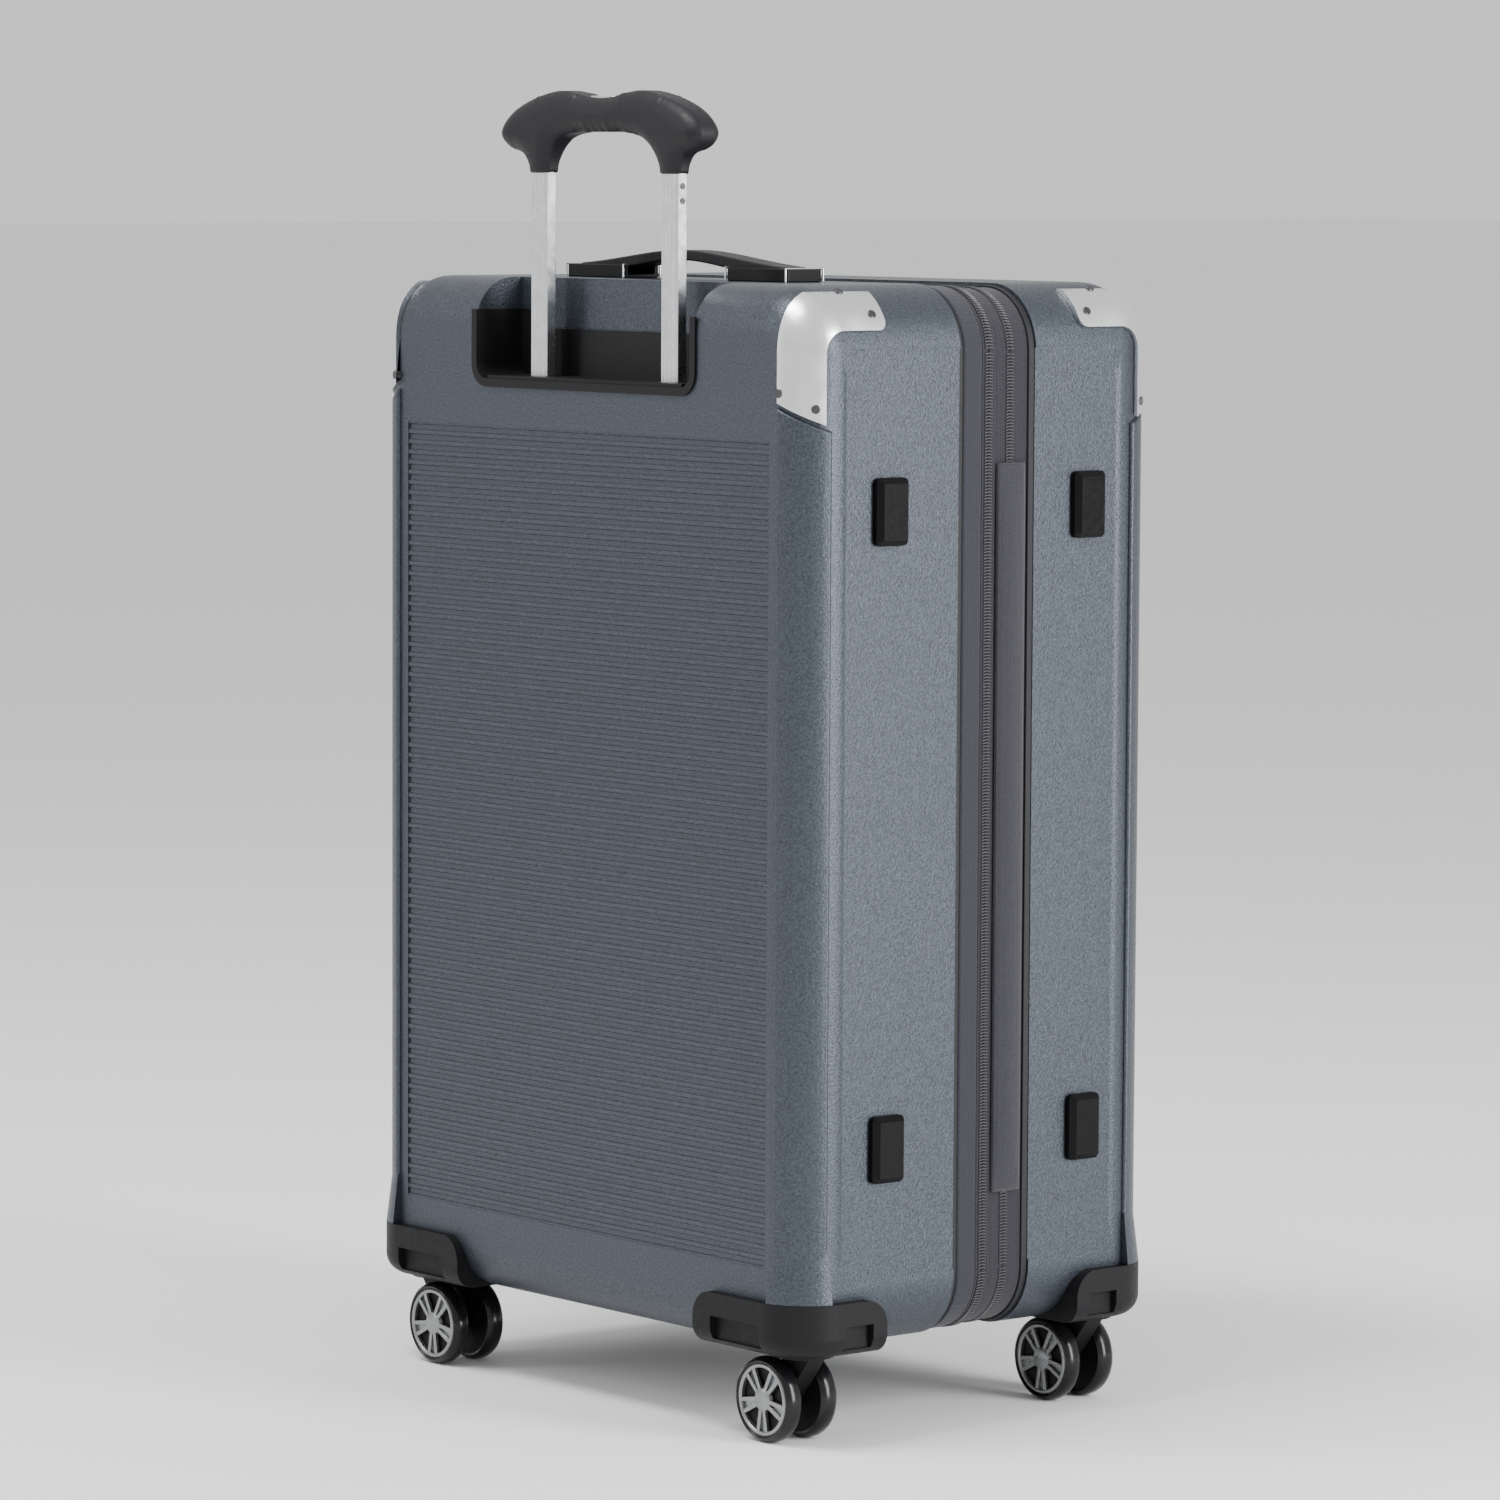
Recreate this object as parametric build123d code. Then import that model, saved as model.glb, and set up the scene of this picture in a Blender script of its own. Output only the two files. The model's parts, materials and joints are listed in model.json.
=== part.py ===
from build123d import *
import math
import os

os.makedirs("parts", exist_ok=True)

# Large hard-shell spinner suitcase. Millimetres, +Z up, floor at z = 0. +Y is the back face with
# the pull handle, -Y is the lid, -X is the hinge side with the side feet, +X is the side with the
# carry handle and the lock. Pieces are drawn with the shells' middle at x = 0, and save() moves
# them so that the origin lies under the middle of the overall box, side handle included.

# ---------------------------------------------------------------- driving dimensions
case_width = 475.0            # X, over the corner bumpers
case_depth = 318.0            # Y, over the corner bumpers
case_top = 770.0              # flat top of the shells above the floor
body_bottom = 62.0            # underside of the shells above the floor
corner_radius = 45.0          # corners of the shell seen from the front
face_radius = 32.0            # edge between the big faces and the sides
shell_wall = 3.0
bumper_rise = 3.0             # corner bumpers and guards stand this far out of the shell
panel_sink = 1.2              # side panels lie this far below the shell

back_edge = 21.0              # y of the back shell's open edge
lid_edge = -46.0              # y of the lid shell's open edge
band_start = 16.5             # y stations of the soft parts between the shells
band_end = 0.4
expansion_line = -5.5
expander_front = -12.8
main_zip_line = -25.0
lid_tape_end = -41.0
body_gap = 0.3                # clearance between parts on different bodies
expansion_travel = 50.0

wheel_diameter = 58.0
wheel_width = 14.0
wheel_gap = 16.0              # between the two wheels of a caster
caster_trail = 19.0
caster_inset = 34.5           # swivel axis in from the bumper faces, both ways
swivel_radius = 5.0

tube_spacing = 143.5          # between the middles of the two handle tubes
tube_y = 134.5
inner_tube_x = 17.5
inner_tube_y = 10.0
tube_wall = 1.45
tube_clearance = 0.3
grip_half_width = 109.0
grip_top = 898.0
grip_skirt = 842.0            # lower end of the grip's legs

cup_half_width = 120.0
cup_floor = 698.0
cup_depth = 43.0
cup_rim = 748.0

far = 1000.0                  # beyond every part, for cutting blocks
flare = 4.0                   # bumpers and wheel housings stand out this far more at the bottom
strap_thick = 7.0             # a carry handle's grip
strap_rise = 13.0             # its arch's underside at the middle, above the mount's seat
caster_places = {"back_left": (1, 1), "back_right": (-1, 1), "front_left": (1, -1), "front_right": (-1, -1)}

base_half = case_width / 2 - bumper_rise
base_face = case_depth / 2 - bumper_rise
side_x = base_half - panel_sink
origin_x = (side_x + strap_rise + strap_thick - (base_half + bumper_rise + flare)) / 2


def save(name, *solids):
    moved = [Location((-origin_x, 0, 0)) * solid for solid in solids]
    shape = moved[0] if len(moved) == 1 else Compound(children=moved)
    export_step(shape, f"parts/{name}.step")


def box(x0, x1, y0, y1, z0, z1):
    middle = Location(((x0 + x1) / 2, (y0 + y1) / 2, (z0 + z1) / 2))
    return middle * Box(x1 - x0, y1 - y0, z1 - z0)


def front_outline(y, direction, grow):
    """The case's outline seen from the front, grown outwards, as a face at this y."""
    z_mid = (case_top + body_bottom) / 2
    plane = Plane(origin=(0, y, z_mid), x_dir=(1, 0, 0), z_dir=(0, direction, 0))
    return plane * RectangleRounded(2 * (base_half + grow), case_top - body_bottom + 2 * grow,
                                    corner_radius + grow)


def prism(y0, y1, grow):
    """The case's outline, grown outwards, between two y stations."""
    return extrude(front_outline(min(y0, y1), 1, grow), abs(y1 - y0))


def shell_block(y_edge, side, grow):
    """Solid half of the case from its open edge to its big face, with rounded far edges."""
    y_far = side * (base_face + grow)
    block = extrude(front_outline(y_edge, side, grow), abs(y_far - y_edge))
    far_face = block.faces().sort_by(Axis.Y)[-1 if side > 0 else 0]
    return fillet(far_face.edges(), face_radius + grow)


# ---------------------------------------------------------------- the two polycarbonate shells
panel_low = 110.0             # the sunk side panels
panel_high = 729.0
panel_margin = 38.5           # from the bumper face to the side panel's far edge
panel_radius = 18.0
panel_slope = 2.2             # width of the sloping border round a side panel
rib_half_width = 199.0        # the ribbed field on the big faces
rib_low = 120.0
rib_high = 668.0
rib_count = 77
rib_field_sink = 0.3
groove_depth = 1.1
groove_mouth = 4.7
groove_floor = 3.1
bumper_x = 208.0              # the bumpers' edges on the big faces and on the sides
bumper_y = 132.0
bumper_low = 104.0
bumper_edge = 2.2             # rounding of the bumpers' upright edges
edge_match = 0.05             # an edge this close to a plane lies on it
flare_low = 99.0
flare_high = 134.0
flare_tuck = 0.3              # the flare's top runs in under the bumper's surface
pitch = (rib_high - rib_low) / rib_count
swivel_x = case_width / 2 - caster_inset
swivel_y = case_depth / 2 - caster_inset
tower_radius = 9.0            # the wheel housing's stem tower, which goes up through the shell
tower_top = 76.0
guard_slope = -0.451          # the guard's lower edge falls towards the side at this rate
guard_slope_dir = (-0.926, 0.378)
guard_low = 694.5             # height of that edge at the bumper's edge on the big face
guard_gap = 3.5               # between the guard and the bumper under it


def rib_cutter(side):
    y_field = side * (base_face - rib_field_sink)
    y_out = side * (base_face + 2)
    y_in = y_field - side * groove_depth
    outline = [(0, y_out, rib_low)]
    outline.append((0, y_field, rib_low))
    for number in range(rib_count):
        middle = rib_low + (number + 0.5) * pitch
        outline.append((0, y_field, middle - groove_mouth / 2))
        outline.append((0, y_in, middle - groove_floor / 2))
        outline.append((0, y_in, middle + groove_floor / 2))
        outline.append((0, y_field, middle + groove_mouth / 2))
    outline.append((0, y_field, rib_high))
    outline.append((0, y_out, rib_high))
    comb = make_face(Polyline(*outline, close=True))
    return extrude(comb, rib_half_width, both=True, dir=(1, 0, 0))


def side_panel_cutters(y_edge, side):
    y_far = side * (case_depth / 2 - panel_margin)
    y_near = y_edge - side * case_depth / 4
    length = abs(y_far - y_near)
    middle = (0, (y_far + y_near) / 2, (panel_low + panel_high) / 2)
    height = panel_high - panel_low
    cutters = []
    for x_side in (1, -1):
        plane = Plane(origin=middle, x_dir=(0, 1, 0), z_dir=(x_side, 0, 0))
        floor = plane.offset(side_x) * RectangleRounded(length - 2 * panel_slope, height - 2 * panel_slope,
                                                        panel_radius - panel_slope)
        mouth = plane.offset(base_half) * RectangleRounded(length, height, panel_radius)
        cutters.append(loft([floor.face(), mouth.face()], ruled=True) + extrude(mouth, panel_sink))
    return cutters


def slope_cut(side, x_side, height):
    """Everything above the guards' slanting lower edge, at one corner."""
    turn = Vector(guard_slope_dir[0] * -x_side, -guard_slope_dir[1] * side, 0)
    normal = Vector(-guard_slope * turn.X, -guard_slope * turn.Y, 1).normalized()
    plane = Plane(origin=(x_side * bumper_x, side * case_depth / 2, height),
                  x_dir=(-turn.Y, turn.X, 0), z_dir=tuple(normal))
    return plane * Location((0, 0, far / 2)) * Box(far, far, far)


def corner_region(side, x_side, x_in, y_in, z0, z1):
    return box(min(x_side * x_in, x_side * far), max(x_side * x_in, x_side * far),
               min(side * y_in, side * far), max(side * y_in, side * far), z0, z1)


def flare_section(side, x_side, grow, z):
    """Plan of one corner, square inside and rounded outside, at a height."""
    x_out = base_half + grow
    y_out = base_face + grow
    corner = Location((bumper_x, bumper_y, 0)) * Rectangle(far, far, align=(Align.MIN, Align.MIN))
    corner = corner & RectangleRounded(2 * x_out, 2 * y_out, face_radius + grow)
    corner = Location((0, 0, z)) * corner
    if x_side < 0:
        corner = mirror(corner, Plane.YZ)
    if side < 0:
        corner = mirror(corner, Plane.XZ)
    return corner


def bumper_edges(pad, side, x_side):
    """A bumper's two upright outer edges and its slanting upper edge."""
    outer = []
    for edge in pad.edges():
        middle = edge.position_at(0.5)
        on_face = abs(abs(middle.X) - bumper_x) < edge_match and abs(middle.Y) > base_face
        on_side = abs(abs(middle.Y) - bumper_y) < edge_match and abs(middle.X) > base_half
        on_slope = abs(middle.X) > bumper_x + 1 and abs(middle.Y) > bumper_y + 1 and middle.Z > flare_high
        if (on_face or on_side or on_slope) and pad_skin_depth(middle) < edge_match:
            outer.append(edge)
    return outer


def pad_skin_depth(point):
    """How far a point lies under a bumper's outer face, in plan."""
    centre_x = base_half - face_radius
    centre_y = base_face - face_radius
    reach = math.hypot(max(abs(point.X) - centre_x, 0), max(abs(point.Y) - centre_y, 0))
    return abs(face_radius + bumper_rise - reach)


def bumpers(y_edge, side):
    """Raised pads round the vertical corners, flaring out above the wheel housings."""
    raised = shell_block(y_edge, side, bumper_rise)
    pads = []
    for x_side in (-1, 1):
        pad = raised & corner_region(side, x_side, bumper_x, bumper_y, bumper_low, panel_high)
        pad = pad - slope_cut(side, x_side, guard_low - guard_gap)
        pads.append(fillet(bumper_edges(pad, side, x_side), bumper_edge))
        foot = loft([flare_section(side, x_side, bumper_rise + flare, flare_low).face(),
                     flare_section(side, x_side, bumper_rise - flare_tuck, flare_high).face()], ruled=True)
        pads.append(foot)
    return pads


def shell(y_edge, side, pocket):
    body = shell_block(y_edge, side, 0)
    for pad in bumpers(y_edge, side):
        body = body + pad
    for cutter in side_panel_cutters(y_edge, side):
        body = body - cutter
    body = body - rib_cutter(side)
    hollow = shell_block(y_edge - side, side, -shell_wall)
    if pocket:
        hollow = hollow - cup_pocket(shell_wall)
        body = body - cup_pocket(0)
        body = body - tube_holes(middle_tube_x + 2 * tube_clearance, middle_tube_y + 2 * tube_clearance,
                                 guide_high, cup_floor_top + 1)
    body = body - hollow
    for x_side in (-1, 1):
        body = body - Location((x_side * swivel_x, side * swivel_y, body_bottom)) \
            * Cylinder(tower_radius, 2 * (tower_top - body_bottom))
    return body


# ---------------------------------------------------------------- pull handle sizes
middle_tube_x = inner_tube_x + 2 * (tube_clearance + tube_wall)
middle_tube_y = inner_tube_y + 2 * (tube_clearance + tube_wall)
guide_tube_x = middle_tube_x + 2 * (tube_clearance + tube_wall)
guide_tube_y = middle_tube_y + 2 * (tube_clearance + tube_wall)
cup_wall = 2.5
cup_floor_thick = 5.0
cup_corner = 13.0
cup_bezel = 3.0               # the bezel laps this far over the shell, all round
cup_bezel_rise = 1.8
cup_dip = 13.0                # the rim is lower than its ends by this much in the middle
cup_dip_top = 96.0
cup_dip_floor = 84.0
cup_play = 2.5                # between the cup's pocket and the lining behind it
cup_floor_top = cup_floor + cup_floor_thick
inner_tube_low = 600.0
grip_socket = 18.0            # the tubes go this far up into the grip
inner_tube_high = grip_skirt + grip_socket
middle_tube_low = 420.0
bracket_height = 20.0
guide_low = body_bottom + shell_wall + bracket_height
guide_high = cup_floor - shell_wall


def tube_bars(size_x, size_y, z0, z1, radius=2.0):
    bars = []
    for side in (-1, 1):
        sketch = Location((side * tube_spacing / 2, tube_y, z0)) * RectangleRounded(size_x, size_y, radius)
        bars.append(extrude(sketch, z1 - z0))
    return bars


def tube_holes(size_x, size_y, z0, z1):
    left, right = tube_bars(size_x, size_y, z0, z1)
    return left + right


def cup_outline(grow, y0, y1, z_high):
    half = cup_half_width + grow
    low = cup_floor - grow
    height = z_high - low
    plane = Plane(origin=(0, y0, low + height / 2), x_dir=(1, 0, 0), z_dir=(0, 1, 0))
    return extrude(plane * RectangleRounded(2 * half, height, cup_corner + grow), y1 - y0)


def cup_pocket(grow):
    """The space of the handle cup, open at the back face and at the top."""
    return cup_outline(grow, case_depth / 2 - cup_depth - grow, case_depth, case_top + cup_depth)


back_shell = shell(back_edge, 1, True)
lid_shell = shell(lid_edge, -1, False)

# The lock is let into the lid's +X side.
lock_low = 392.0
lock_high = 474.0
lock_y0 = -82.0
lock_y1 = -54.0
lock_back = base_half - 14.0
lock_face = base_half + 2.5
lid_shell = lid_shell - box(lock_back, far, lock_y0, lock_y1, lock_low, lock_high)
save("back_shell", back_shell)
save("front_shell", lid_shell)


# ---------------------------------------------------------------- linings and straps
lining_gap = 1.2
lining_wall = 1.2
back_lining_y = case_depth / 2 - cup_depth - shell_wall - cup_play
lid_lining_y = -(base_face - shell_wall - lining_gap)
well_play = 4.0               # lining's distance from a stem tower
well_x = swivel_x - tower_radius - well_play
well_y = swivel_y - tower_radius - well_play
well_top = tower_top + well_play


def lining(y_edge, y_far, wells):
    outer = prism(y_edge, y_far, -shell_wall - lining_gap)
    step = lining_wall if y_far > y_edge else -lining_wall
    inner = prism(y_edge - step, y_far - step, -shell_wall - lining_gap - lining_wall)
    if wells:
        outer = lid_room(y_edge, y_far, lining_gap) - tower_wells(0)
        inner = lid_room(y_edge - step, y_far - step, lining_gap + lining_wall) - tower_wells(lining_wall)
    return outer - inner


def lid_room(y_edge, y_far, gap):
    """The lid lining follows the shell's rounded far edges."""
    block = extrude(front_outline(y_edge, -1, -shell_wall - gap), abs(y_far - y_edge))
    return fillet(block.faces().sort_by(Axis.Y)[0].edges(), face_radius - shell_wall)


def tower_wells(grow):
    """Room for the wheel housings' stem towers in the lid's two lower corners."""
    left = box(-far, -well_x + grow, -far, -well_y + grow, 0, well_top + grow)
    right = box(well_x - grow, far, -far, -well_y + grow, 0, well_top + grow)
    return left + right


lock_room = box(lock_back - body_gap, far, lock_y0 - body_gap, lock_y1 + body_gap,
                lock_low - body_gap, lock_high + body_gap)
save("back_lining", lining(back_edge, back_lining_y, False))
save("front_lining", lining(lid_edge, lid_lining_y, True) - lock_room)

strap_heights = (290.0, 545.0)
web_width = 25.0
web_thick = 1.3
web_gap = 0.2                 # between a strap and the lining behind it
buckle_length = 54.0
buckle_height = 38.0
buckle_thick = 6.0
buckle_corner = 6.0
strap_y = back_lining_y - lining_wall - web_gap
strap_end = base_half - shell_wall - lining_gap - lining_wall - body_gap
straps = []
buckles = []
for height in strap_heights:
    straps.append(box(-strap_end, strap_end, strap_y - web_thick, strap_y,
                      height - web_width / 2, height + web_width / 2))
    buckle = box(-buckle_length / 2, buckle_length / 2,
                 strap_y - web_thick - buckle_thick, strap_y - web_thick,
                 height - buckle_height / 2, height + buckle_height / 2)
    buckles.append(fillet(buckle.edges().filter_by(Axis.Y), buckle_corner))
save("tie_down_straps", *straps)
save("strap_buckles", *buckles)


# ---------------------------------------------------------------- soft parts between the shells
def ring(y0, y1, grow, thickness):
    return prism(y0, y1, grow) - prism(min(y0, y1) - 1, max(y0, y1) + 1, grow - thickness)


back_trim_sunk = 2.6          # each soft part lies this far inside the shells' outline
band_sunk = 1.6
expansion_tape_sunk = 2.2
main_tape_sunk = 3.0
trim_thick = 2.6
band_thick = 3.0
expansion_tape_thick = 2.4
main_tape_thick = 2.6
front_trim_thick = 4.0
save("back_rim_trim", ring(band_start, back_edge, -back_trim_sunk, trim_thick))
save("back_band", ring(band_end, band_start, -band_sunk, band_thick))
save("expansion_zipper_back",
     ring(expansion_line + body_gap / 2, band_end, -expansion_tape_sunk, expansion_tape_thick))
save("expansion_zipper_front",
     ring(expander_front, expansion_line - body_gap / 2, -expansion_tape_sunk, expansion_tape_thick))
save("main_zipper_back",
     ring(main_zip_line + body_gap / 2, expander_front, -main_tape_sunk, main_tape_thick))
save("main_zipper_front",
     ring(lid_tape_end, main_zip_line - body_gap / 2, -main_tape_sunk, main_tape_thick))
save("front_rim_trim", ring(lid_edge, lid_tape_end, -band_sunk, front_trim_thick))

gusset_outer = -shell_wall - lining_gap - lining_wall - body_gap
gusset_wall = 1.2
gusset_lap = 8.0              # the gusset still laps the band this far when the case is expanded
gusset_end = expansion_travel + gusset_lap
gusset_root = expansion_tape_sunk + expansion_tape_thick
gusset = ring(expander_front, gusset_end, gusset_outer, gusset_wall)
gusset = gusset + ring(expander_front, expansion_line - body_gap / 2, -gusset_root,
                       gusset_wall - gusset_outer - gusset_root)
save("expansion_gusset", gusset)

# The fabric hinge over the zipper on the -X side, in one leaf each side of the hinge line.
cover_low = 160.0
cover_high = 651.0
cover_thick = 2.2
cover_front = -37.0
cover_inner = -(base_half - main_tape_sunk)
cover_outer = cover_inner - cover_thick
leaves = {"hinge_cover_back": (main_zip_line + body_gap / 2, expander_front),
          "hinge_cover_front": (cover_front, main_zip_line - body_gap / 2)}
for name, (y0, y1) in leaves.items():
    y_low = min(y0, y1)
    leaf = box(cover_outer, cover_inner, y_low, max(y0, y1), cover_low, cover_high)
    save(name, leaf)


# ---------------------------------------------------------------- handle cup in the back shell
liner = cup_outline(0, case_depth / 2 - cup_depth, base_face, case_top) \
    - cup_outline(-cup_wall, case_depth / 2 - cup_depth + cup_wall, case_depth, case_top + cup_depth)
liner = liner + box(-cup_half_width + cup_corner, cup_half_width - cup_corner,
                    case_depth / 2 - cup_depth, base_face, cup_floor, cup_floor_top)
bezel = cup_outline(cup_bezel, base_face, base_face + cup_bezel_rise, case_top) \
    - cup_outline(-cup_wall, 0, case_depth, case_top + cup_depth)
liner = liner + bezel
liner = liner - box(-far, far, -far, far, cup_rim, far)
dip = Polyline((-cup_dip_top, 0, cup_rim + 1), (-cup_dip_floor, 0, cup_rim - cup_dip),
               (cup_dip_floor, 0, cup_rim - cup_dip), (cup_dip_top, 0, cup_rim + 1), close=True)
liner = liner - extrude(make_face(dip), base_face, dir=(0, 1, 0))
liner = liner - tube_holes(middle_tube_x + 2 * tube_clearance, middle_tube_y + 2 * tube_clearance,
                           guide_high, cup_floor_top + 1)
save("handle_cup", liner)


# ---------------------------------------------------------------- pull handle
def hollow_tubes(size_x, size_y, z0, z1):
    outer = tube_bars(size_x, size_y, z0, z1)
    inner = tube_bars(size_x - 2 * tube_wall, size_y - 2 * tube_wall, z0 - 1, z1 + 1, 1.0)
    return [outer[0] - inner[0], outer[1] - inner[1]]


def grip_screw(height, start, length):
    """A grip screw's head, or the pocket for it, in the -X tube's outer face."""
    place = Location((start, tube_y, height)) * Rotation(0, -90, 0)
    return place * Cylinder(grip_screw_radius, length, align=(Align.CENTER, Align.CENTER, Align.MIN))


grip_screw_radius = 2.2
grip_screw_heights = (834.0, 824.0)
grip_screw_sunk = 0.6
grip_screw_proud = 0.2        # less than the clearance in the next tube
grip_screw_x = -(tube_spacing / 2 + inner_tube_x / 2) + grip_screw_sunk
inner_tubes = hollow_tubes(inner_tube_x, inner_tube_y, inner_tube_low, inner_tube_high)
for height in grip_screw_heights:
    inner_tubes[0] = inner_tubes[0] - grip_screw(height, grip_screw_x, tube_wall)
save("handle_inner_tubes", *inner_tubes)
save("handle_grip_screws", *[grip_screw(height, grip_screw_x, grip_screw_sunk + grip_screw_proud)
                             for height in grip_screw_heights])
save("handle_middle_tubes", *hollow_tubes(middle_tube_x, middle_tube_y, middle_tube_low, cup_floor_top - 1))
save("handle_guide_tubes", *hollow_tubes(guide_tube_x, guide_tube_y, guide_low, guide_high))

bracket_reach = 22.0          # beyond the tubes' middles
bracket_half_depth = 14.0
bracket = box(-tube_spacing / 2 - bracket_reach, tube_spacing / 2 + bracket_reach,
              tube_y - bracket_half_depth, tube_y + bracket_half_depth, body_bottom, guide_low)
save("handle_foot_bracket", bracket & shell_block(0, 1, -shell_wall))

grip_depth = 29.0
grip_leg_wall = 2.5
leg_half = inner_tube_x / 2 + grip_leg_wall
tube_x = tube_spacing / 2
right_half = [(0, grip_top - 5.0), (18, grip_top - 3.5), (41, grip_top), (66, grip_top - 3.5),
              (90, grip_top - 11), (105, grip_top - 21), (grip_half_width, grip_top - 29),
              (105, grip_top - 37), (95, grip_top - 40.5)]
left_run = [(tube_x + leg_half + 4, grip_top - 44), (tube_x + leg_half + 0.6, grip_skirt + 6)]
inner_run = [(tube_x - leg_half - 0.6, grip_skirt + 6), (tube_x - leg_half - 5, grip_top - 40),
             (tube_x - leg_half - 18, grip_top - 31), (28, grip_top - 28.5), (0, grip_top - 28)]


def grip_sketch():
    top = Spline(*right_half, *left_run, (tube_x + leg_half, grip_skirt), tangents=[(1, 0), (0, -1)])
    foot = Line((tube_x + leg_half, grip_skirt), (tube_x - leg_half, grip_skirt))
    under = Spline((tube_x - leg_half, grip_skirt), *inner_run, tangents=[(0, 1), (-1, 0)])
    middle = Line(inner_run[-1], right_half[0])
    return make_face([top, foot, under, middle])


half_grip = extrude(Plane(origin=(0, tube_y, 0), x_dir=(1, 0, 0), z_dir=(0, -1, 0)) * grip_sketch(),
                    grip_depth / 2, both=True)
grip = half_grip + mirror(half_grip, Plane.YZ)
grip = grip - tube_holes(inner_tube_x, inner_tube_y, grip_skirt - 1, inner_tube_high)
button_half = 14.0
button_depth = 12.0
button_low = grip_top - 17.0
button_top = grip_top - 3.6
button_travel_room = 4.0
button_corner = 3.0
button_slot = box(-button_half - body_gap, button_half + body_gap, tube_y - button_depth / 2 - body_gap,
                  tube_y + button_depth / 2 + body_gap, button_low - button_travel_room, grip_top + 1)
grip = grip - button_slot
save("handle_grip", grip)
button = box(-button_half, button_half, tube_y - button_depth / 2, tube_y + button_depth / 2,
             button_low, button_top)
save("handle_button", fillet(button.edges().filter_by(Axis.Z), button_corner))


# ---------------------------------------------------------------- carry handles
carry_length = 240.0
carry_width = 32.0
mount_length = 64.0
mount_height = 9.0
mount_corner = 3.0
mount_end_wall = 8.0          # solid end of a mount, beyond its slot
mount_floor = 2.5             # under the slot
strap_width = 22.0
strap_side_play = 0.5
strap_end_play = 1.3
strap_flat = 14.0             # a mount is this much longer than the strap's flat end
strap_end_rise = 4.0          # the arch's underside and top where it leaves the mounts
strap_top_rise = 5.0
top_handle_y = 61.0
side_handle_y = 66.0
side_handle_z = 430.0


def carry_mount(x_side):
    """One end block of a carry handle, with a slot that the grip's end slides in."""
    x_out = x_side * carry_length / 2
    x_in = x_side * (carry_length / 2 - mount_length)
    block = box(min(x_in, x_out), max(x_in, x_out), -carry_width / 2, carry_width / 2, 0, mount_height)
    block = fillet(block.edges().filter_by(Axis.Z), mount_corner)
    x_slot_out = x_side * (carry_length / 2 - mount_end_wall)
    slot_half = strap_width / 2 + strap_side_play
    slot = box(min(x_in - x_side, x_slot_out), max(x_in - x_side, x_slot_out), -slot_half, slot_half,
               mount_floor, mount_height + 1)
    return block - slot


def carry_grip():
    """Arched strap whose ends lie in the mounts' slots."""
    half = carry_length / 2 - mount_end_wall - strap_end_play
    run = mount_length - strap_flat
    low = mount_floor + body_gap
    bend = low + strap_thick + strap_top_rise
    under = low + strap_end_rise
    outer = Spline((-half, low + strap_thick), (-half + run, bend), (0, strap_rise + strap_thick),
                   (half - run, bend), (half, low + strap_thick))
    inner = Spline((half, low), (half - run, under), (0, strap_rise), (-half + run, under), (-half, low))
    ends = [Line((-half, low), (-half, low + strap_thick)), Line((half, low), (half, low + strap_thick))]
    face = make_face([outer, inner, *ends])
    plane = Plane(origin=(0, strap_width / 2, 0), x_dir=(1, 0, 0), z_dir=(0, -1, 0))
    return extrude(plane * face, strap_width)


top_place = Location((0, top_handle_y, case_top))
side_place = Location((side_x, side_handle_y, side_handle_z)) * Rotation(0, 90, 0)
save("carry_handle_mounts", *[place * carry_mount(x_side) for place in (top_place, side_place)
                              for x_side in (-1, 1)])
save("top_handle", top_place * carry_grip())
save("side_handle", side_place * carry_grip())


# ---------------------------------------------------------------- corner guards and their screws
guard_arm = 73.5              # from the bumper face to the arm's end
guard_arm_low = 741.0
guard_leg_in = 21.5           # from the bumper face to the leg's edge on the side
guard_top = 766.0
guard_face_inset = 2.0        # the guard stops this far outside the bumper's edge
guard_leg_low = 640.0
guard_elbow = 15.0            # rounding inside the elbow between leg and arm
guard_tip = 7.0               # rounding of the arm's lower end corner
screw_radius = 3.0
guard_rise = bumper_rise + 0.5
screw_head_rise = 0.9         # a head stands this far out of its guard
leg_screws = ((14.0, 700.0), (56.0, 690.0))   # angle round the corner and height
arm_screws = ((33.0, 64.0), (58.0, 48.0))     # angle up the corner and distance in from the bumper face


def guard_screws(side, x_side):
    """Axes of one guard's four screws, from the shell outwards."""
    places = []
    centre_x = x_side * (base_half - face_radius)
    centre_y = side * (base_face - face_radius)
    for angle, height in leg_screws:
        across = math.radians(angle)
        out = Vector(x_side * math.sin(across), side * math.cos(across), 0)
        places.append((Vector(centre_x, centre_y, height) + out * face_radius, out))
    arm_x = x_side * (base_half - corner_radius)
    arm_z = case_top - corner_radius
    for angle, inset in arm_screws:
        up = math.radians(angle)
        out = Vector(x_side * math.cos(up), 0, math.sin(up))
        places.append((Vector(arm_x, side * (case_depth / 2 - inset), arm_z) + out * corner_radius, out))
    return places


def screw_pin(place, length):
    start, out = place
    plane = Plane(origin=tuple(start), z_dir=tuple(out))
    return plane * Cylinder(screw_radius, length, align=(Align.CENTER, Align.CENTER, Align.MIN))


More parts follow.
